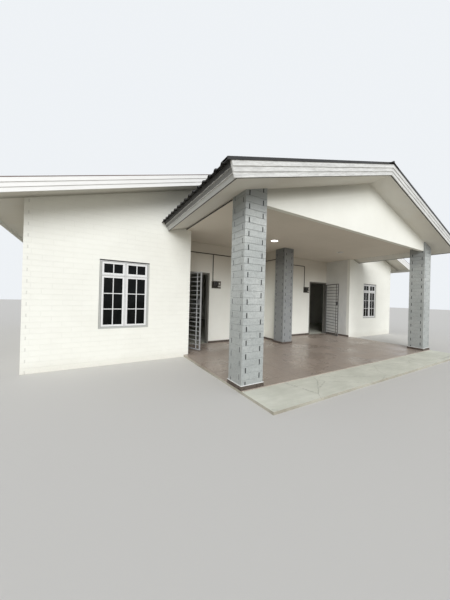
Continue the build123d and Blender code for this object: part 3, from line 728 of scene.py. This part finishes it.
def layColumn(name, nodeName, low, high, coat="greyBlock"):
    look = blockwork
    pick = random.Random(look["seed"])
    bm, core = bmesh.new(), bmesh.new()
    width, depth = high.x - low.x, high.y - low.y
    thick, gap = look["blockThickness"], look["uprightJoint"]
    fill, sunk = look["slotFill"]
    lap, firstJoint, lastJoint = look["slotLap"], *look["bedJoint"]
    blockPlans = withTurned([
        (0, 0, width - thick - gap, thick),
        (width - thick, 0, width, depth - thick - gap),
        (thick + gap, depth - thick, width, depth),
        (0, thick + gap, thick, depth),
    ], width)
    slotPlans = withTurned([
        (width - thick - gap, sunk, width - thick, thick),
        (width - thick, depth - thick - gap, width - sunk, depth - thick),
        (thick, depth - thick, thick + gap, depth - sunk),
        (sunk, thick, thick, thick + gap),
    ], width)
    courses = math.ceil((high.z - low.z - look["firstCourse"]) / look["courseHeight"]) + 1
    for course in range(courses):
        z0 = low.z + ((course - 1) * look["courseHeight"] + look["firstCourse"] if course else 0.0)
        joint = firstJoint + (lastJoint - firstJoint) * course / courses
        z1 = min(z0 + (look["courseHeight"] if course else look["firstCourse"]) - joint, high.z)
        for x0, y0, x1, y1 in blockPlans[course % 2]:
            dent = pick.uniform(0, look["unevenness"])
            addBox(
                bm, (low.x + max(x0, dent), low.y + max(y0, dent), z0),
                (low.x + min(x1, width - dent), low.y + min(y1, depth - dent), z1),
            )
        # each slot is closed over in its upper part, with mortar set back below
        inset = look["mortarDepth"] - sunk
        for x0, y0, x1, y1 in slotPlans[course % 2]:
            addBox(bm, (low.x + x0 - lap, low.y + y0, z1 - fill), (low.x + x1 + lap, low.y + y1, z1))
            ends = (inset if x0 < thick / 2 else 0, inset if x1 > width - thick / 2 else 0)
            sides = (inset if y0 < thick / 2 else 0, inset if y1 > depth - thick / 2 else 0)
            addBox(
                core, (low.x + x0 + ends[0], low.y + y0 + sides[0], z0),
                (low.x + x1 - ends[1], low.y + y1 - sides[1], z1 - fill - look["mortarGap"]),
            )
    softenEdges(bm, look["softEdge"])
    blocks = makePiece(name + "Blocks", bm, coat)
    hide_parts(nodeName)
    inset = Vector((look["coreInset"], look["coreInset"], 0))
    addBox(core, low + inset, Vector((high.x, high.y, high.z - look["coreTop"])) - inset)
    makePiece(name + "Core", core, "mortar")


for side in ("left", "right"):
    low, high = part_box(side + "_porch_column")
    layColumn(side + "Column", side + "_porch_column", low, high - Vector((0, 0, blockwork["roofCut"])))
layColumn("finColumn", "fin_column", *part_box("fin_column"), coat="shadedBlock")
print("columns laid")


# small-paned windows, drawn facing -Y with the sill's middle at the origin

windowLook = {
    "outer": 0.038, "mullion": 0.016, "sash": 0.042, "sashDepth": 0.036, "toplight": 0.268, "bar": 0.017,
    "barDepth": 0.020, "barClearance": 0.0005, "paneRows": 3, "softEdge": 0.0025, "gasket": 0.0035,
    "gasketInset": 0.004, "headShadow": 0.023, "headLip": 0.01, "headInset": 0.001, "headGap": 0.0004,
    "rearInnerX": 1.7,
}


def makeWindow(name, size, depth, place, replacedNode):
    look = windowLook
    width, height = size
    outerBar, mullion, gap, rail = look["outer"], look["mullion"], look["gasket"], look["sash"]
    half, inner, top = width / 2, width / 2 - outerBar, height - outerBar
    split = top - look["toplight"]
    outer, sashes, gasketsAndShadow = bmesh.new(), bmesh.new(), bmesh.new()
    addBox(outer, (-half, 0, 0), (half, depth, outerBar))
    addBox(sashes, (-half, 0, top), (half, depth, height))
    # a dark strip across the head, standing for the shadow under the lintel: painted shadow
    inset = look["headInset"]
    addBox(
        gasketsAndShadow, (-half + inset, -look["headLip"], height - look["headShadow"]),
        (half - inset, -look["headGap"], height - inset),
    )
    for x0, x1 in ((-half, -inner), (inner, half)):
        addBox(outer, (x0, 0, outerBar), (x1, depth, top))
    addBox(sashes, (-mullion / 2, 0, outerBar), (mullion / 2, depth, top))
    addBox(sashes, (-inner, 0, split - mullion), (inner, depth, split))
    y0, y1 = (depth - look["sashDepth"]) / 2, (depth + look["sashDepth"]) / 2
    barY0, barY1 = (depth - look["barDepth"]) / 2, (depth + look["barDepth"]) / 2
    inset, clear, barHalf = look["gasketInset"], look["barClearance"], look["bar"] / 2
    for x0, x1 in ((-inner, -mullion / 2), (mullion / 2, inner)):
        for z0, z1, rows in ((outerBar, split - mullion, look["paneRows"]), (split, top, 1)):
            addRing(gasketsAndShadow, (x0, y0 + inset, z0), (x1, y1 - inset, z1), gap)
            addRing(sashes, (x0 + gap, y0, z0 + gap), (x1 - gap, y1, z1 - gap), rail - gap)
            middle = (x0 + x1) / 2
            addBox(sashes, (middle - barHalf, barY0, z0 + rail), (middle + barHalf, barY1, z1 - rail))
            step = (z1 - z0 - 2 * rail) / rows
            for row in range(1, rows):
                z = z0 + rail + row * step
                addBox(
                    sashes, (x0 + rail, barY0 + clear, z - barHalf), (x1 - rail, barY1 - clear, z + barHalf)
                )
    softenEdges(outer, look["softEdge"])
    softenEdges(sashes, look["softEdge"])
    frameOuter = makePiece(name + "Outer", outer, "shadedWindowOuter", place=place)
    makePiece(name + "Sashes", sashes, "windowCoat", place=place)
    makePiece(name + "GasketsAndHeadShadow", gasketsAndShadow, "gasket", place=place)
    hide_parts(replacedNode)


frontLow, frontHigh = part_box("left_front_window")
windowSize = (frontHigh.x - frontLow.x, frontHigh.z - frontLow.z)
windowDepth = frontHigh.y - frontLow.y
for side in ("left", "right"):
    low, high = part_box(side + "_front_window")
    place = Matrix.Translation(((low.x + high.x) / 2, low.y, low.z))
    makeWindow(side + "FrontWindow", windowSize, windowDepth, place, side + "_front_window")
sideLow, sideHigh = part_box("side_windows")
for label, x, turn in (("left", sideLow.x, -90), ("right", sideHigh.x, 90)):
    for which, y in (("A", sideLow.y + windowSize[0] / 2), ("B", sideHigh.y - windowSize[0] / 2)):
        place = Matrix.Translation((x, y, sideLow.z)) @ Matrix.Rotation(math.radians(turn), 4, "Z")
        makeWindow(label + "SideWindow" + which, windowSize, windowDepth, place, "side_windows")
rearLow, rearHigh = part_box("rear_windows")
rearInner, rearOuter = windowLook["rearInnerX"], rearHigh.x - windowSize[0] / 2
for which, x in (("A", -rearOuter), ("B", -rearInner), ("C", rearInner), ("D", rearOuter)):
    place = Matrix.Translation((x, rearHigh.y, rearLow.z)) @ Matrix.Rotation(math.pi, 4, "Z")
    makeWindow("rearWindow" + which, windowSize, windowDepth, place, "rear_windows")
print("windows made")


# gates, drawn closed with the hinge axis on Z and the free edge along +X

gateLook = {
    "width": 0.98, "tube": 0.03, "stileStart": 0.014, "bars": 16, "barHeight": 0.019, "barDepth": 0.014,
    "innerStileFromEdge": 0.15, "innerStile": 0.022, "lockZ": 1.18, "lockHeight": 0.12, "lockDepth": 0.022,
    "cylinderRadius": 0.012, "cylinderFromStile": 0.055, "knuckleRadius": 0.011, "knuckleHeight": 0.06,
    "strap": 0.005, "strapLap": 0.002, "hingeHeights": (0.3, 1.75), "softEdge": (0.003, 2),
    "cylinderSides": 20, "knuckleSides": 24,
}


def makeGate(side, nodeName, joint, sign, coat):
    look = gateLook
    low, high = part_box(nodeName)
    height, tube = high.z - low.z, look["tube"]
    half, barHalf, barDepth = tube / 2, look["barHeight"] / 2, look["barDepth"] / 2
    left, right = look["stileStart"], look["width"]
    bm = bmesh.new()
    for x in (left, right - tube):
        addBox(bm, (x, -half, 0), (x + tube, half, height))
    for z in (0, height - tube):
        addBox(bm, (left + tube, -half, z), (right - tube, half, z + tube))
    inner = right - look["innerStileFromEdge"]
    addBox(bm, (inner - look["innerStile"], -tube / 3, tube), (inner, tube / 3, height - tube))
    step = (height - tube) / (look["bars"] + 1)
    for bar in range(1, look["bars"] + 1):
        z = half + step * bar
        for x0, x1 in ((left + tube, inner - look["innerStile"]), (inner, right - tube)):
            addBox(bm, (x0, -barDepth, z - barHalf), (x1, barDepth, z + barHalf))
    softenEdges(bm, *look["softEdge"])
    hinge = Vector(joint["pos_m"])
    restAngle = joint["range_deg"][1] if sign > 0 else joint["range_deg"][0]
    turn = Matrix.Translation((hinge.x, hinge.y, low.z)) @ Matrix.Rotation(math.radians(-restAngle), 4, "Z")
    turn = turn @ Matrix.Diagonal((sign, 1.0, 1.0, 1.0))
    leaf = makePiece(side + "GateLeaf", bm, coat, nodeName, turn)
    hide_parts(nodeName)
    bm = bmesh.new()
    lockZ, lockDepth, lockHeight = look["lockZ"], look["lockDepth"] / 2, look["lockHeight"]
    addBox(bm, (inner, -lockDepth, lockZ), (right - tube, lockDepth, lockZ + lockHeight))
    softenEdges(bm, *look["softEdge"])
    cylinder = Matrix.Translation((inner + look["cylinderFromStile"], 0, lockZ + lockHeight / 2)) @ lying
    addRound(bm, look["cylinderRadius"], tube, cylinder, look["cylinderSides"])
    knuckle, strap = look["knuckleHeight"], look["strap"]
    for z in look["hingeHeights"]:
        place = Matrix.Translation((0, 0, z + knuckle / 2))
        addRound(bm, look["knuckleRadius"], knuckle, place, look["knuckleSides"])
        addBox(bm, (0, -strap, z), (left + look["strapLap"], strap, z + knuckle))
    makePiece(side + "GateFittings", bm, "steel", nodeName, turn, smooth=True)


joints = {joint["child"]: joint for joint in frame["joints"]}
makeGate("left", "left_gate", joints["left_gate"], 1, "gatePaint")
makeGate("right", "right_gate", joints["right_gate"], -1, "gateShadeAndDirt")
print("gates hung")


# door frames with a planted stop

doorLook = {"width": 1.0, "jamb": 0.05, "stop": 0.014, "stopDepth": 0.045, "stopGap": 0.004, "softEdge": 0.004}


def makeDoorFrame(side, sign):
    look = doorLook
    low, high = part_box("door_frames")
    jamb, stop = look["jamb"], look["stop"]
    x0, x1, head = high.x - look["width"], high.x, high.z - look["jamb"]
    bm = bmesh.new()
    for x in (x0, x1 - jamb):
        addBox(bm, (x, low.y, low.z), (x + jamb, high.y, head))
    addBox(bm, (x0, low.y, head), (x1, high.y, high.z))
    stopY0, stopY1 = high.y - look["stopDepth"], high.y - look["stopGap"]
    for x in (x0 + jamb, x1 - jamb - stop):
        addBox(bm, (x, stopY0, low.z), (x + stop, stopY1, head))
    addBox(bm, (x0 + jamb, stopY0, head - stop), (x1 - jamb, stopY1, head))
    softenEdges(bm, look["softEdge"])
    mirrored = Matrix.Diagonal((sign, 1.0, 1.0, 1.0))
    piece = makePiece(side + "DoorFrame", bm, "doorWood", place=mirrored)
    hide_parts("door_frames")


makeDoorFrame("left", -1.0)
makeDoorFrame("right", 1.0)
print("door frames made")


# meters on their boards, with two pale fuse carriers beside the dark case

meterLook = {
    "board": 0.3, "boardEdge": (0.003, 2),
    "case": (0.15, 0.17), "caseDepth": 0.09, "caseEdge": (0.012, 3),
    "foot": 0.045, "footInset": 0.006, "footDepth": 0.62,
    "paleFromCase": 0.016, "paleDepth": 0.06, "paleEdge": (0.004, 2),
    "pale": [((0.012, 0.058), (0.09, 0.15)), ((0.0, 0.085), (0.012, 0.058))],
    "dialRadius": 0.033, "dialDepth": 0.003, "dialProud": 0.001, "dialFromTop": 0.052,
    "dialSides": 32,
}


def makeMeter(side, boardX):
    look = meterLook
    boardLow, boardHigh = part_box("meter_boards")
    front = boardLow.y
    bm = bmesh.new()
    addBox(bm, (boardX, front, boardLow.z), (boardX + look["board"], boardHigh.y, boardHigh.z))
    softenEdges(bm, *look["boardEdge"])
    board = makePiece(side + "MeterBoard", bm, "boardWood")
    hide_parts("meter_boards")
    margin = (boardHigh.z - boardLow.z - look["case"][1]) / 2
    x0, z0 = boardX + margin, boardLow.z + margin
    x1, z1 = x0 + look["case"][0], z0 + look["case"][1]
    foot, inset = look["foot"], look["footInset"]
    bm = bmesh.new()
    addBox(bm, (x0, front - look["caseDepth"], z0 + foot), (x1, front, z1))
    addBox(bm, (x0 + inset, front - look["caseDepth"] * look["footDepth"], z0), (x1 - inset, front, z0 + foot))
    softenEdges(bm, *look["caseEdge"])
    case = makePiece(side + "MeterCase", bm, "meterCase", smooth=True)
    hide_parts("meters")
    bm = bmesh.new()
    paleX = x1 + look["paleFromCase"]
    for (left, right), (low, high) in look["pale"]:
        addBox(bm, (paleX + left, front - look["paleDepth"], z0 + low), (paleX + right, front, z0 + high))
    softenEdges(bm, *look["paleEdge"])
    makePiece(side + "MeterPaleParts", bm, "meterPale", smooth=True)
    bm = bmesh.new()
    face = ((x0 + x1) / 2, front - look["caseDepth"] - look["dialProud"], z1 - look["dialFromTop"])
    place = Matrix.Translation(face) @ lying
    addRound(bm, look["dialRadius"], look["dialDepth"], place, look["dialSides"])
    makePiece(side + "MeterDial", bm, "gasket", smooth=True)


meterLow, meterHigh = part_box("meter_boards")
makeMeter("left", meterLow.x)
makeMeter("right", meterHigh.x - meterLook["board"])
print("meters made")


# round ceiling lights: a rim turned on a lathe, and its diffuser

lightLook = {
    "radius": 0.112, "sides": 48,
    # the rim's outline, out from the radius and up from the ceiling
    "rim": [(0.0, 0.0), (0.0, -0.006), (-0.005, -0.016), (-0.016, -0.016), (-0.018, -0.009), (-0.018, 0.0)],
    "diffuserInset": 0.017, "diffuserDepth": 0.008, "diffuserMiddle": -0.005,
}


def makeCeilingLight(name, x, y, ceilingZ, diffuser):
    look = lightLook
    bm = bmesh.new()
    ring = [bm.verts.new((look["radius"] + out, 0, z)) for out, z in look["rim"]]
    edges = [bm.edges.new((ring[i], ring[(i + 1) % len(ring)])) for i in range(len(ring))]
    bmesh.ops.spin(
        bm, geom=ring + edges, cent=(0, 0, 0), axis=(0, 0, 1), angle=2 * math.pi, steps=look["sides"],
        use_merge=True,
    )
    bmesh.ops.remove_doubles(bm, verts=bm.verts, dist=1e-6)
    place = Matrix.Translation((x, y, ceilingZ))
    rim = makePiece(name + "Rim", bm, "lightRim", place=place, smooth=True)
    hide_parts("ceiling_lights")
    bm = bmesh.new()
    middle = Matrix.Translation((0, 0, look["diffuserMiddle"]))
    addRound(bm, look["radius"] - look["diffuserInset"], look["diffuserDepth"], middle, look["sides"])
    makePiece(name + "Diffuser", bm, diffuser, place=place)


lightLow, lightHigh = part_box("ceiling_lights")
lightRadius = lightLook["radius"]
makeCeilingLight("leftLight", lightLow.x + lightRadius, lightHigh.y - lightRadius, lightHigh.z, "lightOn")
makeCeilingLight("rightLight", lightHigh.x - lightRadius, lightLow.y + lightRadius, lightHigh.z, "lightOff")
print("ceiling lights made")


# screws through the ribs of the roof sheets, in rows across the slope

screwLook = {
    "washer": 0.011, "washerHeight": 0.002, "washerSides": 8,
    "head": 0.006, "headHeight": 0.007, "headSides": 6,
    "firstRow": 0.3, "rowStep": 1.1, "fromEave": 0.25, "lastGap": 0.1, "ribPitch": 0.2, "sheetRise": 0.036,
}


def makeRoofScrews(name, nodeName, sign):
    look = screwLook
    low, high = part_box(nodeName)
    length, run = high.y - low.y, high.x - low.x
    ribs = int(round(length * 1000) // (look["ribPitch"] * 1000))
    margin = (length - ribs * look["ribPitch"]) / 2
    # the crest's height falls evenly from the ridge to the eave
    fall = (high.z - low.z - look["sheetRise"]) / run
    ridgeX = high.x if sign < 0 else low.x
    tilt = Matrix.Rotation(sign * math.atan(fall), 4, "Y")
    rows = []
    distance = look["firstRow"]
    while distance < run - look["lastGap"]:
        rows.append(distance)
        distance += look["rowStep"]
    rows.append(run - look["fromEave"])
    washer, head = look["washerHeight"], look["headHeight"]
    bm = bmesh.new()
    for distance in rows:
        for rib in range(ribs):
            y = low.y + margin + look["ribPitch"] * (rib + 0.5)
            spot = Matrix.Translation((ridgeX + sign * distance, y, high.z - fall * distance)) @ tilt
            onSheet, onWasher = (spot @ Matrix.Translation((0, 0, z)) for z in (washer / 2, washer + head / 2))
            addRound(bm, look["washer"], washer, onSheet, look["washerSides"])
            addRound(bm, look["head"], head, onWasher, look["headSides"])
    makePiece(name, bm, "screw")


makeRoofScrews("mainScrewsLeft", "main_roof_left", -1)
makeRoofScrews("mainScrewsRight", "main_roof_right", 1)
makeRoofScrews("porchScrewsLeft", "porch_roof_left", -1)
makeRoofScrews("porchScrewsRight", "porch_roof_right", 1)
print("roof screws set")


# dark strips standing for the shadow gaps where the porch soffits meet the boards at their edges, and a strip
# along the beams: painted shadow

shadowGapLook = {
    "eaveX": 3.709, "eaveZ": 2.8982, "frontY": -3.106, "backY": -0.002, "ridgeGap": 0.003, "board": 0.04,
    "width": 0.022, "under": (0.0002, 0.0017), "gap": 0.0005,
    "beamX": 3.245, "beamZ": 3.005, "beamBackY": -2.21, "strip": 0.017, "stripRise": 0.001,
    "stripEdge": (0.004, 2),
}


def makeShadowGaps(side, sign):
    look = shadowGapLook
    angle = math.atan(roofSlope)
    tilt = Matrix.Translation((sign * look["eaveX"], 0, look["eaveZ"])) @ Matrix.Rotation(sign * angle, 4, "Y")
    board, width, gap, backY = look["board"], look["width"], look["gap"], look["backY"]
    z0, z1 = look["under"]
    frontY = look["frontY"] + board
    reach = look["eaveX"] / math.cos(angle) - look["ridgeGap"]
    bm = bmesh.new()
    for x0, x1, y0, y1 in (
        (-board - width, -board - gap, frontY + gap, backY),
        (-reach, -board - width, frontY + gap, frontY + width),
    ):
        left, right = sorted((sign * x0, sign * x1))
        addBox(bm, (left, y0, z0), (right, y1, z1), tilt)
    makePiece(side + "SoffitShadowGap", bm, "gasket")
    bm = bmesh.new()
    left, right = sorted((sign * (look["beamX"] + gap), sign * (look["beamX"] + look["strip"])))
    z0, z1 = look["beamZ"] + look["stripRise"], look["beamZ"] + look["strip"]
    addBox(bm, (left, look["beamBackY"], z0), (right, backY, z1))
    softenEdges(bm, *look["stripEdge"])
    makePiece(side + "BeamShadowStrip", bm, "gasket", smooth=True)


makeShadowGaps("left", -1)
makeShadowGaps("right", 1)
print("dark joints made")


# pale grout over the column skirtings

groutLook = {"height": 0.009, "rise": 0.11, "reach": 0.012, "gap": 0.0003}


def makeGrout(name, nodeName):
    look = groutLook
    low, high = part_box(nodeName)
    reach, gap = look["reach"], look["gap"]
    z0, z1 = look["rise"] + gap, look["rise"] + look["height"]
    bm = bmesh.new()
    for x0, x1, y0, y1 in (
        (low.x - reach, high.x + reach, low.y - reach, low.y - gap),
        (low.x - reach, high.x + reach, high.y + gap, high.y + reach),
        (low.x - reach, low.x - gap, low.y, high.y),
        (high.x + gap, high.x + reach, low.y, high.y),
    ):
        addBox(bm, (x0, y0, z0), (x1, y1, z1))
    makePiece(name, bm, "windowCoat")


makeGrout("leftGrout", "left_porch_column")
makeGrout("rightGrout", "right_porch_column")
print("grout laid")


# floor, light and camera

bm = bmesh.new()
bmesh.ops.create_grid(bm, x_segments=1, y_segments=1, size=studio["floorHalf"])
floorMesh = bpy.data.meshes.new("studioFloor")
bm.to_mesh(floorMesh)
bm.free()
floor = addObject("studioFloor", floorMesh)
floorMaterial, tree, shader = newMaterial("studioFloor")
seenFirst = addNode(tree, "ShaderNodeLightPath").outputs["Is Camera Ray"]
setInput(tree, shader["Base Color"], mixColour(tree, seenFirst, studio["floorBounce"], studio["floorSeen"]))
shader["Roughness"].default_value = studio["floorRoughness"]
floor.data.materials.append(floorMaterial)

world = bpy.data.worlds.new("studioWorld")
scene.world = world
world.use_nodes = True
tree = world.node_tree
tree.nodes.clear()
sky = addNode(tree, "ShaderNodeBackground", {"Color": studio["skyColour"], "Strength": studio["skyStrength"]})
backdrop = addNode(tree, "ShaderNodeBackground", {"Color": studio["backdropColour"], "Strength": 1.0})
rays = addNode(tree, "ShaderNodeLightPath").outputs
mirrored = mathNode(tree, "MAXIMUM", rays["Is Glossy Ray"], rays["Is Transmission Ray"])
seen = mathNode(tree, "MAXIMUM", rays["Is Camera Ray"], mirrored)
blend = addNode(tree, "ShaderNodeMixShader", {0: seen, 1: sky.outputs[0], 2: backdrop.outputs[0]})
addNode(tree, "ShaderNodeOutputWorld", {"Surface": blend.outputs[0]})

sunData = bpy.data.lights.new("softSun", "SUN")
sunData.energy = studio["sunStrength"]
sunData.angle = math.radians(studio["sunAngle"])
sun = addObject("softSun", sunData)
sun.rotation_euler = [math.radians(turn) for turn in studio["sunTurn"]]

yaw, pitch, roll = (photoCamera[key] for key in ("yaw", "pitch", "roll"))
forward = Vector((math.sin(yaw) * math.cos(pitch), math.cos(yaw) * math.cos(pitch), math.sin(pitch)))
level = Vector((math.cos(yaw), -math.sin(yaw), 0.0))
upright = level.cross(forward)
right = level * math.cos(roll) + upright * math.sin(roll)
up = upright * math.cos(roll) - level * math.sin(roll)
cameraData = bpy.data.cameras.new("photoCamera")
cameraData.sensor_width = photoCamera["sensor"]
cameraData.lens = photoCamera["lens"]
cameraData.shift_x, cameraData.shift_y = photoCamera["shift"]
cameraData.clip_end = photoCamera["farClip"]
camera = addObject("photoCamera", cameraData)
axes = Matrix((right, up, -forward)).transposed().to_4x4()
camera.matrix_world = Matrix.Translation(photoCamera["place"]) @ axes
scene.camera = camera

scene.view_settings.view_transform = "Standard"
print("studio ready")
